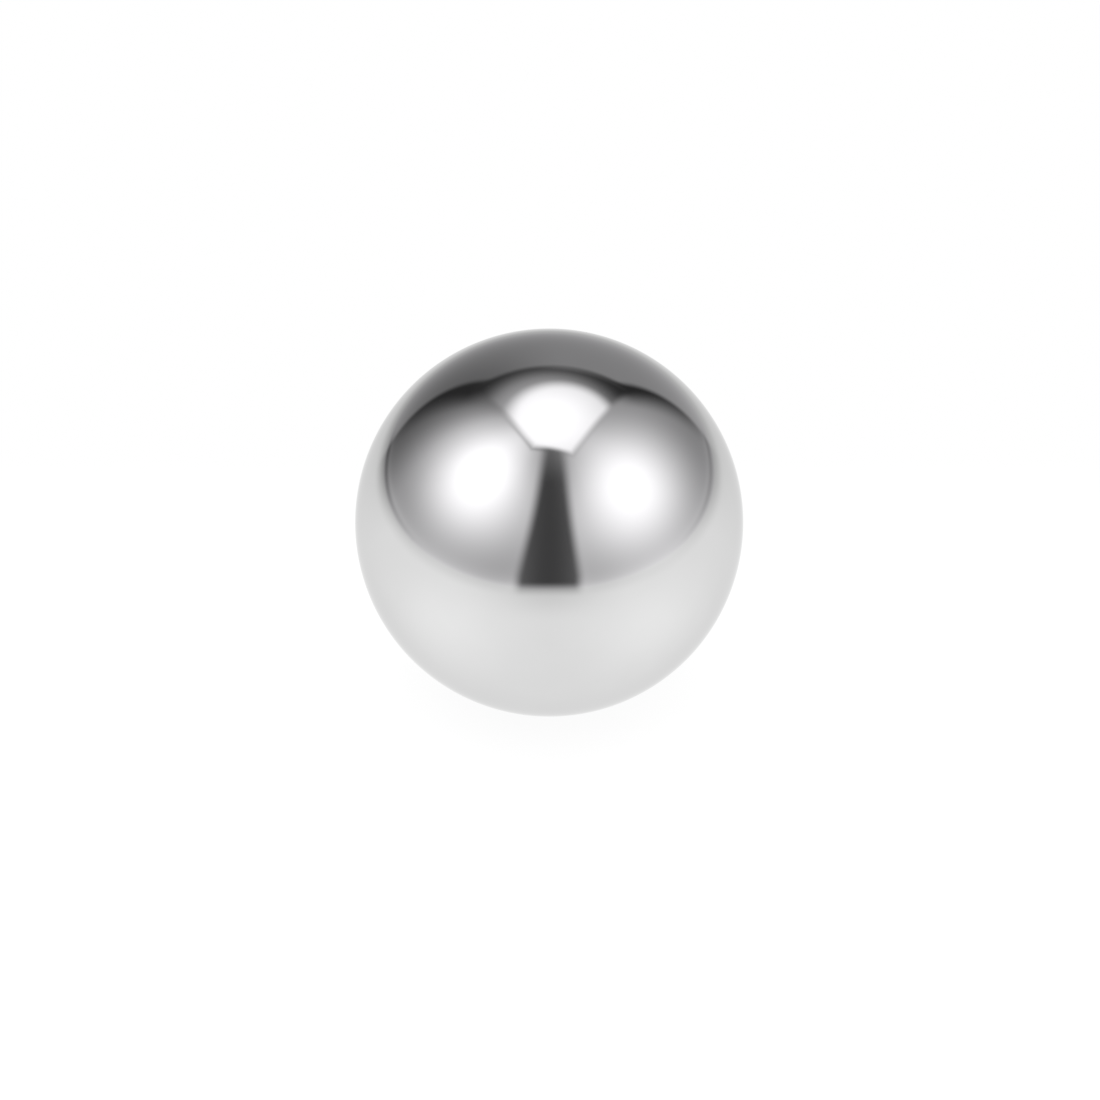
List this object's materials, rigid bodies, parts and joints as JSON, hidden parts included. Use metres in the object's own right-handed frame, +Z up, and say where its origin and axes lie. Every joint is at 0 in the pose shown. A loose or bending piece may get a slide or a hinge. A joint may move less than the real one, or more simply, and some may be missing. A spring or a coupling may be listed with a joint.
{
  "type": "steel ball",
  "caption": "Solid mirror-polished steel ball, a plain true sphere, for bearings, valves, detents, gauging or use as a small desk weight.",
  "frame": {"origin": "centre of the ball", "axes": "+Z up, +X to the right and -Y towards the viewer; the ball is the same about every axis"},
  "size_m": [0.0254, 0.0254, 0.0254],
  "materials": {
    "polished_steel": "polished"
  },
  "bodies": {
    "root": {"ball": "polished_steel"}
  },
  "joints": []
}
